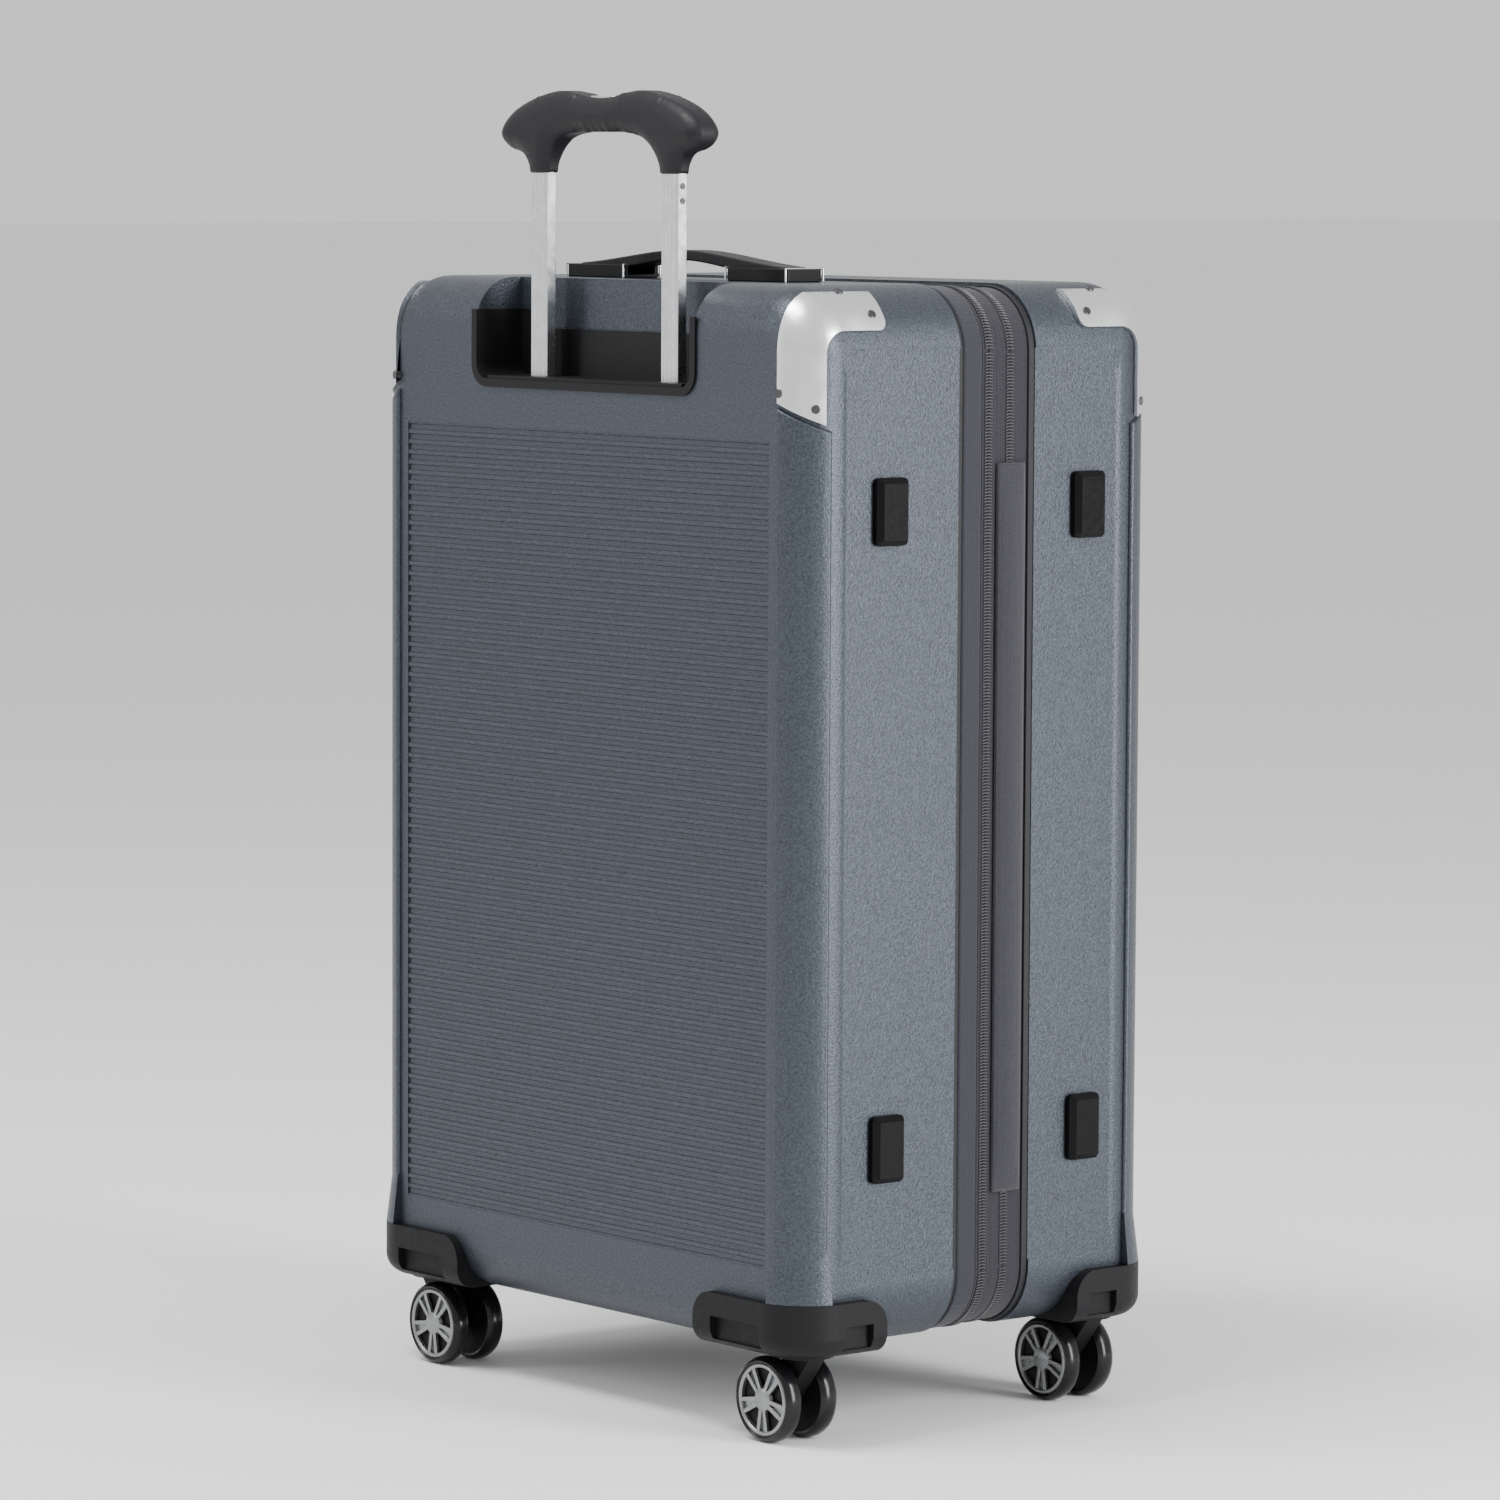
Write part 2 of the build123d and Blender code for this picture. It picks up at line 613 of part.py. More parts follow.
def guard_region(side, x_side):
    """The guard's upright leg and level arm seen from the side, as a block across the corner."""
    x_in = bumper_x + guard_face_inset
    leg_y = case_depth / 2 - guard_leg_in
    arm_y = case_depth / 2 - guard_arm
    y_out = case_depth / 2 + bumper_rise
    points = [(arm_y, guard_top), (arm_y, guard_arm_low), (leg_y, guard_arm_low), (leg_y, guard_leg_low),
              (y_out, guard_leg_low), (y_out, guard_top)]
    face = make_face(Polyline(*[(side * y, z) for y, z in points], close=True))
    for (y, z), radius in ((points[1], guard_tip), (points[2], guard_elbow)):
        nearest = face.vertices().sort_by_distance((side * y, z, 0))[0]
        face = fillet(nearest, radius)
    plane = Plane(origin=(x_side * x_in, 0, 0), x_dir=(0, 1, 0), z_dir=(1, 0, 0))
    return extrude(plane * face, base_half, dir=(x_side, 0, 0))


def corner_guard(y_edge, side, x_side):
    skin = shell_block(y_edge, side, guard_rise) - shell_block(y_edge - side, side, 0)
    guard = skin & guard_region(side, x_side) & slope_cut(side, x_side, guard_low)
    for place in guard_screws(side, x_side):
        guard = guard - screw_pin(place, guard_rise + bumper_rise)
    return guard


for half_name, y_edge, side in (("back", back_edge, 1), ("front", lid_edge, -1)):
    guards = [corner_guard(y_edge, side, x_side) for x_side in (1, -1)]
    save(f"{half_name}_corner_guards", *guards)
    pins = [screw_pin(place, guard_rise + screw_head_rise)
            for x_side in (1, -1) for place in guard_screws(side, x_side)]
    save(f"{half_name}_guard_screws", *pins)


# ---------------------------------------------------------------- side feet
foot_width = 27.5
foot_height = 45.0
foot_rise = 8.0
foot_chamfer = 3.8
foot_corner = 4.0
foot_heights = (621.5, 198.0)
foot_y = {"back": 82.0, "front": -93.0}
for half_name, y_mid in foot_y.items():
    feet = []
    for height in foot_heights:
        plane = Plane(origin=(-side_x, y_mid, height), x_dir=(0, 1, 0), z_dir=(-1, 0, 0))
        foot = extrude(plane * RectangleRounded(foot_width, foot_height, foot_corner), foot_rise)
        far_edges = foot.faces().sort_by(Axis.X)[0].edges()
        feet.append(chamfer(far_edges, foot_chamfer))
    save(f"{half_name}_side_feet", *feet)


# ---------------------------------------------------------------- wheel housings and casters
housing_bottom = body_bottom
housing_in_x = 131.5          # x where a housing ends along the big face
housing_in_y = 85.0           # y where it ends along the side
housing_lobe = 18.0           # rounding of those ends
housing_seam = 0.3            # gap under the bumpers' flare
housing_under_edge = 14.0     # rounding of the housing's lower edges
stem_play = 0.05
plate_seat = 1.2              # between the tyres' tops and the swivel plate
finger_pockets = ((150.0, 201.0), (97.0, 121.0))
pocket_low = 67.0
pocket_high = 83.0
pocket_depth = 5.5
plate_radius = 21.0
plate_low = wheel_diameter + plate_seat
fork_top = housing_bottom - body_gap
stem_top = 72.0


def lobe_region(side, x_side):
    """The housing's extent, with rounded upper ends on the big face and on the side."""
    size = case_depth
    height = case_depth
    z_mid = flare_low - height / 2
    back_plane = Plane(origin=(x_side * (housing_in_x + size / 2), 0, z_mid),
                       x_dir=(1, 0, 0), z_dir=(0, 1, 0))
    side_plane = Plane(origin=(0, side * (housing_in_y + size / 2), z_mid),
                       x_dir=(0, 1, 0), z_dir=(1, 0, 0))
    along_y = extrude(back_plane * RectangleRounded(size, height, housing_lobe), far, both=True)
    along_x = extrude(side_plane * RectangleRounded(size, height, housing_lobe), far, both=True)
    return along_y & along_x & corner_region(side, x_side, 0, 0, 0, flare_low - housing_seam)


def housing(side, x_side):
    """Moulded corner that holds one caster: it wraps the shell's lower corner."""
    grow = bumper_rise + flare
    x_out = base_half + grow
    y_out = base_face + grow
    block = box(-x_out, x_out, -y_out, y_out, housing_bottom, case_top / 2)
    block = fillet(block.edges().filter_by(Axis.Z), face_radius + grow)
    block = fillet(block.faces().sort_by(Axis.Z)[0].edges(), housing_under_edge)
    block = (block & lobe_region(side, x_side)) - shell_block(0, side, 0)
    (x_near, x_far), (y_near, y_far) = finger_pockets
    for pocket in (box(x_near, x_far, y_out - pocket_depth, far, pocket_low, pocket_high),
                   box(x_out - pocket_depth, far, y_near, y_far, pocket_low, pocket_high)):
        if x_side < 0:
            pocket = mirror(pocket, Plane.YZ)
        if side < 0:
            pocket = mirror(pocket, Plane.XZ)
        block = block - pocket
    centre = Location((x_side * swivel_x, side * swivel_y, housing_bottom))
    tower = centre * Cylinder(tower_radius, tower_top - housing_bottom,
                              align=(Align.CENTER, Align.CENTER, Align.MIN))
    bore = centre * Cylinder(swivel_radius + stem_play, stem_top + 1 - housing_bottom,
                             align=(Align.CENTER, Align.CENTER, Align.MIN))
    return block + tower - bore


axle_height = wheel_diameter / 2
axle_radius = 3.0
axle_cover = 3.0              # wheel left outboard of each end of the axle
axle_play = 0.05
tyre_corner = 3.0
fork_side_play = 0.6
plate_chamfer = 1.2
strut_sink = 0.5              # the strut goes this far up into the swivel plate
fork_half = wheel_gap / 2 - fork_side_play
pair_half = wheel_gap / 2 + wheel_width


def caster(name, x_side, side):
    trail = -x_side * caster_trail
    x = x_side * swivel_x
    y = side * swivel_y
    plate = Location((x, y, plate_low)) * Cylinder(plate_radius, fork_top - plate_low,
                                                   align=(Align.CENTER, Align.CENTER, Align.MIN))
    plate = chamfer(plate.edges().sort_by(Axis.Z)[0], plate_chamfer)
    stem = Location((x, y, plate_low)) * Cylinder(swivel_radius, stem_top - plate_low,
                                                  align=(Align.CENTER, Align.CENTER, Align.MIN))
    reach = math.copysign(1, trail)
    top = plate_low + strut_sink
    strut = Polyline((x - reach * 14, 0, top), (x + reach * 13, 0, top),
                     (x + trail + reach * 6, 0, axle_height + 6),
                     (x + trail + reach * 7, 0, axle_height - 3),
                     (x + trail + reach * 3, 0, axle_height - 7),
                     (x + trail - reach * 4, 0, axle_height - 7),
                     (x + trail - reach * 8, 0, axle_height - 1), close=True)
    arm = extrude(make_face(strut), fork_half, both=True, dir=(0, 1, 0))
    arm = Location((0, y, 0)) * arm
    place = Location((x + trail, y, axle_height)) * Rotation(90, 0, 0)
    fork = plate + stem + arm - place * Cylinder(axle_radius, far)
    save(f"caster_fork_{name}", fork)
    save(f"caster_axle_{name}", place * Cylinder(axle_radius, 2 * (pair_half - axle_cover)))
    bore_start = wheel_gap / 2 - 1
    bore_end = pair_half - axle_cover + axle_play
    for wheel_side, word in ((1, "outer"), (-1, "inner")):
        middle = y + side * wheel_side * (wheel_gap / 2 + wheel_width / 2)
        spot = Location((x + trail, middle, axle_height)) * Rotation(90, 0, 0)
        wheel = spot * Cylinder(wheel_diameter / 2, wheel_width)
        wheel = fillet(wheel.edges().filter_by(GeomType.CIRCLE), tyre_corner)
        bore_middle = y + side * wheel_side * (bore_start + bore_end) / 2
        bore = Location((x + trail, bore_middle, axle_height)) * Rotation(90, 0, 0)
        wheel = wheel - bore * Cylinder(axle_radius + axle_play, bore_end - bore_start)
        save(f"wheel_{name}_{word}", wheel)


for name, (x_side, side) in caster_places.items():
    save(f"wheel_housing_{name}", housing(side, x_side))
    caster(name, x_side, side)


# ---------------------------------------------------------------- lock and zipper sliders
lock = box(lock_back, lock_face, lock_y0, lock_y1, lock_low, lock_high)
lock_corner = 5.0
lock_button_radius = 5.0
lock_button_length = 4.0
lock_button_middle = 1.8      # the button's middle lies this far in from the lock's face
lock_button_pit = 6.0
dial_slot_play = 0.6
dial_side_play = 0.4
dial_play = 0.05
dial_sunk = 5.5               # the dials' shaft lies this far in from the lock's face
shaft_radius = 1.5
shaft_length = 40.0
lock = fillet(lock.edges().filter_by(Axis.X), lock_corner)
lock_mid = (lock_y0 + lock_y1) / 2
dial_radius = 7.0
dial_width = 5.0
dial_x = lock_face - dial_sunk
dial_middle = 426.5
dial_spacing = 8.5
dial_places = [dial_middle - dial_spacing, dial_middle, dial_middle + dial_spacing]
lock_button_z = 456.0
for height in dial_places:
    slot = dial_radius + dial_slot_play
    half = dial_width / 2 + dial_side_play
    lock = lock - box(dial_x - slot, far, lock_mid - slot, lock_mid + slot, height - half, height + half)
shaft = Location((dial_x, lock_mid, dial_middle)) * Cylinder(shaft_radius, shaft_length)
lock = lock + shaft
button_room = Location((lock_face, lock_mid, lock_button_z)) * Rotation(0, 90, 0)
lock = lock - button_room * Cylinder(lock_button_radius + body_gap, 2 * lock_button_pit)
save("lock_body", lock)
for number, height in enumerate(dial_places, start=1):
    dial = Location((dial_x, lock_mid, height)) * Cylinder(dial_radius, dial_width)
    dial = dial - Location((dial_x, lock_mid, height)) * Cylinder(shaft_radius + dial_play, dial_width + 2)
    save(f"lock_dial_{number}", dial)
save("lock_button", Location((lock_face - lock_button_middle, lock_mid, lock_button_z))
     * Rotation(0, 90, 0) * Cylinder(lock_button_radius, lock_button_length))

slider_heights = {"upper": 500.0, "lower": 366.0}
slider_half = 4.5
slider_length = 13.0
slider_thick = 3.6
tab_half = 4.0
tab_length = 26.0
tab_thick = 2.0
tab_lift = 0.6
tab_corner = 1.5
slider_x = base_half - main_tape_sunk + body_gap
tab_x = slider_x + tab_lift
for name, height in slider_heights.items():
    body = box(slider_x, slider_x + slider_thick, main_zip_line - slider_half, main_zip_line + slider_half,
               height, height + slider_length)
    tab = box(tab_x, tab_x + tab_thick, main_zip_line - tab_half, main_zip_line + tab_half,
              height - tab_length, height)
    save(f"main_zipper_slider_{name}", body, fillet(tab.edges().filter_by(Axis.X), tab_corner))
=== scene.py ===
import json
import math
import bmesh
import bpy
from mathutils import Matrix, Vector
from mathutils.kdtree import KDTree


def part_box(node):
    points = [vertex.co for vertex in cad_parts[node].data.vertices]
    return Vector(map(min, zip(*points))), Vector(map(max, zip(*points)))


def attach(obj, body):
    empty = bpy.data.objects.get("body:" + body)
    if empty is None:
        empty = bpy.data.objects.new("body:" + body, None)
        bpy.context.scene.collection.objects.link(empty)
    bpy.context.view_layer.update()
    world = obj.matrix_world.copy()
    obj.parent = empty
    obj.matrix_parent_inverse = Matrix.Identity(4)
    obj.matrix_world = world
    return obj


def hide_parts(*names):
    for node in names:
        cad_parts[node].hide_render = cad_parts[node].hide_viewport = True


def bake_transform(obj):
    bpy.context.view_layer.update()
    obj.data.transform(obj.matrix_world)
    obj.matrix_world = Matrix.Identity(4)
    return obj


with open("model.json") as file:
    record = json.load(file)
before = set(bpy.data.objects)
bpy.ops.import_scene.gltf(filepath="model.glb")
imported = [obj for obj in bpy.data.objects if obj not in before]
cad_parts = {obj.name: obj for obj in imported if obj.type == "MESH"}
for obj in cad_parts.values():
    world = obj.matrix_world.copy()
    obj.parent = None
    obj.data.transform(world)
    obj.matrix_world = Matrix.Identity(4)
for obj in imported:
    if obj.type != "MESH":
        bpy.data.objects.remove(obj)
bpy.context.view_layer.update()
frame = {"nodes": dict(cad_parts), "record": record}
nodes = frame["nodes"]


# ---------------------------------------------------------------- polycarbonate shells
# Two deep vacuum-formed trays of slate polycarbonate with a fine pebbled grain. Each has fine
# level ribs across its big face, bumpers round the upright corners and sunk side panels.
shell_colour = (0.04464, 0.05328, 0.06624, 1)
pebble_size = 0.0015


def new_material(name, colour, roughness, metallic=0.0, gloss=0.5):
    material = bpy.data.materials.new(name)
    material.use_nodes = True
    shader = material.node_tree.nodes["Principled BSDF"]
    shader.inputs["Base Color"].default_value = colour
    shader.inputs["Roughness"].default_value = roughness
    shader.inputs["Metallic"].default_value = metallic
    shader.inputs["Specular IOR Level"].default_value = gloss
    return material


def add_node(material, kind, **sockets):
    node = material.node_tree.nodes.new(kind)
    for socket, value in sockets.items():
        node.inputs[socket.replace("_", " ")].default_value = value
    return node


def join(material, source, output, target, socket):
    material.node_tree.links.new(source.outputs[output], target.inputs[socket])


def object_noise(material, size, detail=2.0, roughness=0.5):
    """Noise on the object's own metres, with features about this size."""
    place = add_node(material, "ShaderNodeTexCoord")
    noise = add_node(material, "ShaderNodeTexNoise", Scale=1 / size, Detail=detail, Roughness=roughness)
    join(material, place, "Object", noise, "Vector")
    return noise


def spread(material, source, output, low, high):
    """Maps a texture's middle range to low..high."""
    reach = add_node(material, "ShaderNodeMapRange", From_Min=0.3, From_Max=0.7, To_Min=low, To_Max=high)
    join(material, source, output, reach, "Value")
    return reach


def vary_colour(material, source, output, dark, light):
    """Runs the base colour between two tones."""
    shader = material.node_tree.nodes["Principled BSDF"]
    base = shader.inputs["Base Color"].default_value[:]
    ramp = add_node(material, "ShaderNodeValToRGB")
    ramp.color_ramp.elements[0].position = 0.3
    ramp.color_ramp.elements[1].position = 0.7
    ramp.color_ramp.elements[0].color = [channel * dark for channel in base[:3]] + [1]
    ramp.color_ramp.elements[1].color = [channel * light for channel in base[:3]] + [1]
    join(material, source, output, ramp, "Fac")
    join(material, ramp, "Color", shader, "Base Color")


def vary_roughness(material, size, low, high):
    shader = material.node_tree.nodes["Principled BSDF"]
    reach = spread(material, object_noise(material, size), "Fac", low, high)
    join(material, reach, "Result", shader, "Roughness")


def add_bump(material, source, output, strength, depth):
    shader = material.node_tree.nodes["Principled BSDF"]
    bump = add_node(material, "ShaderNodeBump", Strength=strength, Distance=depth)
    join(material, source, output, bump, "Height")
    if shader.inputs["Normal"].is_linked:
        earlier = shader.inputs["Normal"].links[0].from_node
        join(material, earlier, "Normal", bump, "Normal")
    join(material, bump, "Normal", shader, "Normal")


def add_finish(piece, material, body):
    piece.data.materials.clear()
    piece.data.materials.append(material)
    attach(piece, body)


def as_object(bm, name, smooth_angle=40.0):
    """Closes the bmesh into an object in the case's own frame, smooth where it curves."""
    for face in bm.faces:
        face.smooth = True
    for edge in bm.edges:
        edge.smooth = edge.calc_face_angle(0.0) < math.radians(smooth_angle)
    mesh = bpy.data.meshes.new(name)
    bm.to_mesh(mesh)
    bm.free()
    piece = bpy.data.objects.new(name, mesh)
    bpy.context.scene.collection.objects.link(piece)
    return piece


def even_normals(piece):
    """Keeps broad faces flat in the light and turns only the rounded ones."""
    weighted = piece.modifiers.new("weighted", "WEIGHTED_NORMAL")
    weighted.keep_sharp = True
    weighted.weight = 60


def round_edges(piece, width):
    bevel = piece.modifiers.new("edges", "BEVEL")
    bevel.width = width
    bevel.segments = 2
    bevel.limit_method = "ANGLE"
    bevel.angle_limit = math.radians(35.0)
    bevel.use_clamp_overlap = True


bodies = frame["record"]["behaviour"]["bodies"]
body_of_node = {name: body for body, names in bodies.items() for name in names}
same_corner = 0.00001         # corners this close together are one
flat_angle = 0.4              # faces this near to level with each other are one


def finished_copy(node, material, smooth_angle=40.0, bevel=0.0):
    """A piece of the frame with its corners merged, its curves smooth and its edges eased."""
    bm = bmesh.new()
    bm.from_mesh(nodes[node].data)
    bmesh.ops.remove_doubles(bm, verts=bm.verts, dist=same_corner)
    bmesh.ops.dissolve_limit(bm, angle_limit=math.radians(flat_angle), verts=bm.verts, edges=bm.edges,
                             use_dissolve_boundaries=False)
    piece = as_object(bm, node + "_finished", smooth_angle)
    if bevel:
        round_edges(piece, bevel)
    even_normals(piece)
    add_finish(piece, material, body_of_node[node])
    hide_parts(node)


pebbled = new_material("pebbled_polycarbonate", shell_colour, 0.34, 0.55)
grain = object_noise(pebbled, pebble_size, 3.0, 0.6)
vary_colour(pebbled, grain, "Fac", 0.62, 1.5)
vary_roughness(pebbled, 0.0016, 0.3, 0.46)
add_bump(pebbled, grain, "Fac", 0.75, 0.0005)
for half in ("back_shell", "front_shell"):
    finished_copy(half, pebbled)


# ---------------------------------------------------------------- corner guards
# Pressed aluminium caps with a satin anodised face, one on each top corner, held by small
# dark screws.
guard_colour = (0.86, 0.865, 0.88, 1)
screw_colour = (0.10, 0.10, 0.105, 1)

satin_metal = new_material("satin_aluminium", guard_colour, 0.3, 1.0)
vary_roughness(satin_metal, 0.02, 0.26, 0.34)
add_bump(satin_metal, object_noise(satin_metal, 0.0004, 2.0), "Fac", 0.12, 0.0001)
dark_metal = new_material("dark_plated_steel", screw_colour, 0.3, 1.0)
vary_roughness(dark_metal, 0.002, 0.22, 0.4)
for half in ("back", "front"):
    finished_copy(f"{half}_corner_guards", satin_metal, smooth_angle=45.0, bevel=0.0007)
    finished_copy(f"{half}_guard_screws", dark_metal, bevel=0.0003)


# ---------------------------------------------------------------- side feet and lining
# Hard rubber blocks on the hinge side that the case rests on when it lies down, and the
# woven linings, straps and buckles inside.
foot_plastic = new_material("black_foot_plastic", (0.003, 0.003, 0.0035, 1), 0.3, gloss=0.12)
vary_roughness(foot_plastic, 0.004, 0.3, 0.45)
add_bump(foot_plastic, object_noise(foot_plastic, 0.0007), "Fac", 0.15, 0.0001)
for half in ("back", "front"):
    finished_copy(f"{half}_side_feet", foot_plastic, bevel=0.0006)


def weave(material, size, strength, depth):
    """Crossed threads of a woven cloth, on the object's own metres."""
    place = add_node(material, "ShaderNodeTexCoord")
    total = None
    for direction in ("X", "Y", "Z"):
        wave = add_node(material, "ShaderNodeTexWave", Scale=1 / size, Distortion=0.6, Detail=1.0)
        wave.bands_direction = direction
        join(material, place, "Object", wave, "Vector")
        if total is None:
            total = wave
        else:
            mixer = add_node(material, "ShaderNodeMath")
            mixer.operation = "ADD"
            join(material, total, 0, mixer, 0)
            join(material, wave, "Fac", mixer, 1)
            total = mixer
    add_bump(material, total, 0, strength, depth)


def cloth_material(name, colour, thread, sheen=0.12):
    material = new_material(name, colour, 0.85)
    shader = material.node_tree.nodes["Principled BSDF"]
    shader.inputs["Specular IOR Level"].default_value = 0.2
    shader.inputs["Sheen Weight"].default_value = sheen
    shader.inputs["Sheen Roughness"].default_value = 0.5
    vary_colour(material, object_noise(material, 0.0012, 3.0), "Fac", 0.78, 1.2)
    weave(material, thread, 0.5, 0.0002)
    return material


lining_cloth = cloth_material("lining_cloth", (0.20, 0.20, 0.21, 1), 0.009)
webbing = cloth_material("strap_webbing", (0.02, 0.02, 0.022, 1), 0.012)
for node in ("back_lining", "front_lining", "expansion_gusset"):
    finished_copy(node, lining_cloth)
finished_copy("tie_down_straps", webbing)
finished_copy("strap_buckles", foot_plastic, bevel=0.001)


# ---------------------------------------------------------------- bands and zippers
# A woven band and two coil zippers run all the way round between the shells. Each zipper
# is two tapes with a nylon coil sewn to each edge, and the coils mesh on the middle line.
band_colour = (0.026, 0.0265, 0.033, 1)
tape_colour = (0.022, 0.0215, 0.027, 1)
coil_colour = (0.03, 0.028, 0.032, 1)
coil_pitch = 0.0021
coil_reach = 0.0033
coil_thick = 0.0007
coil_lift = 0.4               # a tooth stands off the tape by this share of its thickness
coil_slant = 0.16
tape_corner = 0.0425          # rounding of the line that the teeth stand on

band_cloth = cloth_material("band_cloth", band_colour, 0.008)
tape_cloth = cloth_material("tape_cloth", tape_colour, 0.006)
coil_nylon = new_material("coil_nylon", coil_colour, 0.4)
vary_roughness(coil_nylon, 0.003, 0.32, 0.5)
rim_rubber = new_material("rim_rubber", (0.014, 0.014, 0.016, 1), 0.45, gloss=0.25)
vary_roughness(rim_rubber, 0.004, 0.42, 0.6)
finished_copy("back_band", band_cloth, bevel=0.0014)
for node in ("back_rim_trim", "front_rim_trim"):
    finished_copy(node, rim_rubber, bevel=0.0005)
for node in ("expansion_zipper_back", "expansion_zipper_front", "main_zipper_back", "main_zipper_front"):
    finished_copy(node, tape_cloth, bevel=0.0008)


def outline_stations(node, radius, step):
    """Places and outward directions along a tape's rounded outline, evenly spaced."""
    low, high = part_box(node)
    half_x, half_z = (high.x - low.x) / 2 - radius, (high.z - low.z) / 2 - radius
    middle = Vector(((low.x + high.x) / 2, 0, (low.z + high.z) / 2))
    stations = []
    for turn, (reach_x, reach_z) in enumerate(((1, 1), (-1, 1), (-1, -1), (1, -1))):
        centre = middle + Vector((reach_x * half_x, 0, reach_z * half_z))
        start = turn * math.pi / 2
        bend = radius * math.pi / 2
        for number in range(int(bend / step)):
            angle = start + (number + 0.5) * step / radius
            out = Vector((math.cos(angle), 0, math.sin(angle)))
            stations.append((centre + out * radius, out))
        out = Vector((math.cos(start + math.pi / 2), 0, math.sin(start + math.pi / 2)))
        along = Vector((-out.z, 0, out.x))
        run = 2 * (half_x if turn % 2 == 0 else half_z)
        for number in range(int(run / step)):
            stations.append((centre + out * radius + along * (number + 0.5) * step, out))
    return stations


def coil(name, tape, y_line, side, body):
    """One coil: short round teeth across the tape, on its outer face."""
    bm = bmesh.new()
    for place, out in outline_stations(tape, tape_corner, coil_pitch):
        centre = place + out * coil_thick * coil_lift
        centre.y = y_line + side * coil_reach / 2
        lean = Matrix.Rotation(math.radians(90), 4, "X")
        slant = Matrix.Rotation(side * coil_slant, 4, out)
        bmesh.ops.create_cone(bm, cap_ends=True, segments=6, radius1=coil_thick, radius2=coil_thick,
                              depth=coil_reach, matrix=Matrix.Translation(centre) @ slant @ lean)
    piece = as_object(bm, name, 50)
    add_finish(piece, coil_nylon, body)


expansion_y = (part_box("expansion_zipper_back")[0].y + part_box("expansion_zipper_front")[1].y) / 2
main_y = (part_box("main_zipper_back")[0].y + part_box("main_zipper_front")[1].y) / 2
coil("expansion_coil_back", "expansion_zipper_back", expansion_y, 1, "root")
coil("expansion_coil_front", "expansion_zipper_front", expansion_y, -1, "expander")
coil("main_coil_back", "main_zipper_back", main_y, 1, "expander")
coil("main_coil_front", "main_zipper_front", main_y, -1, "lid")
for word in ("upper", "lower"):
    finished_copy(f"main_zipper_slider_{word}", dark_metal, bevel=0.0006)


# ---------------------------------------------------------------- hinge cover
# A strip of smooth grey cloth sewn to the band and to the lid's tape over the zipper. It is
#  the hinge of the lid and bulges a little.
cover_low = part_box("hinge_cover_front")[0]
cover_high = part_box("hinge_cover_back")[1]
cover_bulge = 0.0032
cover_hem = 0.0012
cover_seat = 0.0008           # its seams lie this far in from the tapes
cover_ripple = 0.00022
ripple_rate = 26
end_share = 12                # the bulge fades over a twelfth of the length at each end

bm = bmesh.new()
bmesh.ops.create_grid(bm, x_segments=14, y_segments=160, size=0.5)
cover_width = cover_high.y - cover_low.y
cover_height = cover_high.z - cover_low.z
for vert in bm.verts:
    u, v = vert.co.x + 0.5, vert.co.y + 0.5
    crown = math.sin(math.pi * u) ** 0.7
    ends = min(1.0, end_share * v, end_share * (1 - v)) ** 0.5
    ripple = cover_ripple * math.sin(ripple_rate * v) * crown
    vert.co = Vector((cover_low.x + cover_seat - cover_bulge * crown * ends - ripple,
                      cover_low.y + cover_width * u, cover_low.z + cover_height * v))
bmesh.ops.recalc_face_normals(bm, faces=bm.faces)
cover = as_object(bm, "hinge_cover_cloth", 60)
thick = cover.modifiers.new("cloth", "SOLIDIFY")
thick.thickness = cover_hem
thick.offset = 1.0
cover.data.materials.append(cloth_material("hinge_cloth", (0.028, 0.028, 0.034, 1), 0.004, 0.15))
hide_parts("hinge_cover_back", "hinge_cover_front")
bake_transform(cover)


# ---------------------------------------------------------------- pull handle
# A moulded cup let into the back shell, aluminium tubes with grooved faces in three stages,
# and a soft-touch grip with its release button in the saddle.
cup_plastic = new_material("cup_plastic", (0.006, 0.006, 0.007, 1), 0.36, gloss=0.2)
vary_roughness(cup_plastic, 0.003, 0.38, 0.52)
add_bump(cup_plastic, object_noise(cup_plastic, 0.0006), "Fac", 0.15, 0.0001)
tube_metal = new_material("anodised_tube", (0.80, 0.81, 0.83, 1), 0.25, 1.0)
vary_roughness(tube_metal, 0.01, 0.2, 0.32)
soft_touch = new_material("soft_touch_grip", (0.011, 0.011, 0.013, 1), 0.4, gloss=0.22)
vary_roughness(soft_touch, 0.003, 0.42, 0.56)
add_bump(soft_touch, object_noise(soft_touch, 0.0005), "Fac", 0.12, 0.0001)
polished = new_material("polished_chrome", (0.8, 0.8, 0.82, 1), 0.12, 1.0)
vary_roughness(polished, 0.002, 0.08, 0.2)

finished_copy("handle_cup", cup_plastic, bevel=0.0006)
finished_copy("handle_foot_bracket", cup_plastic)
finished_copy("handle_guide_tubes", tube_metal)
finished_copy("handle_middle_tubes", tube_metal)

tube_width = 0.0175
tube_groove = 0.0011          # half the width of a groove
groove_share = 0.6            # its depth against that
tube_corner = 0.0016
groove_places = (-0.0042, 0.0, 0.0042)


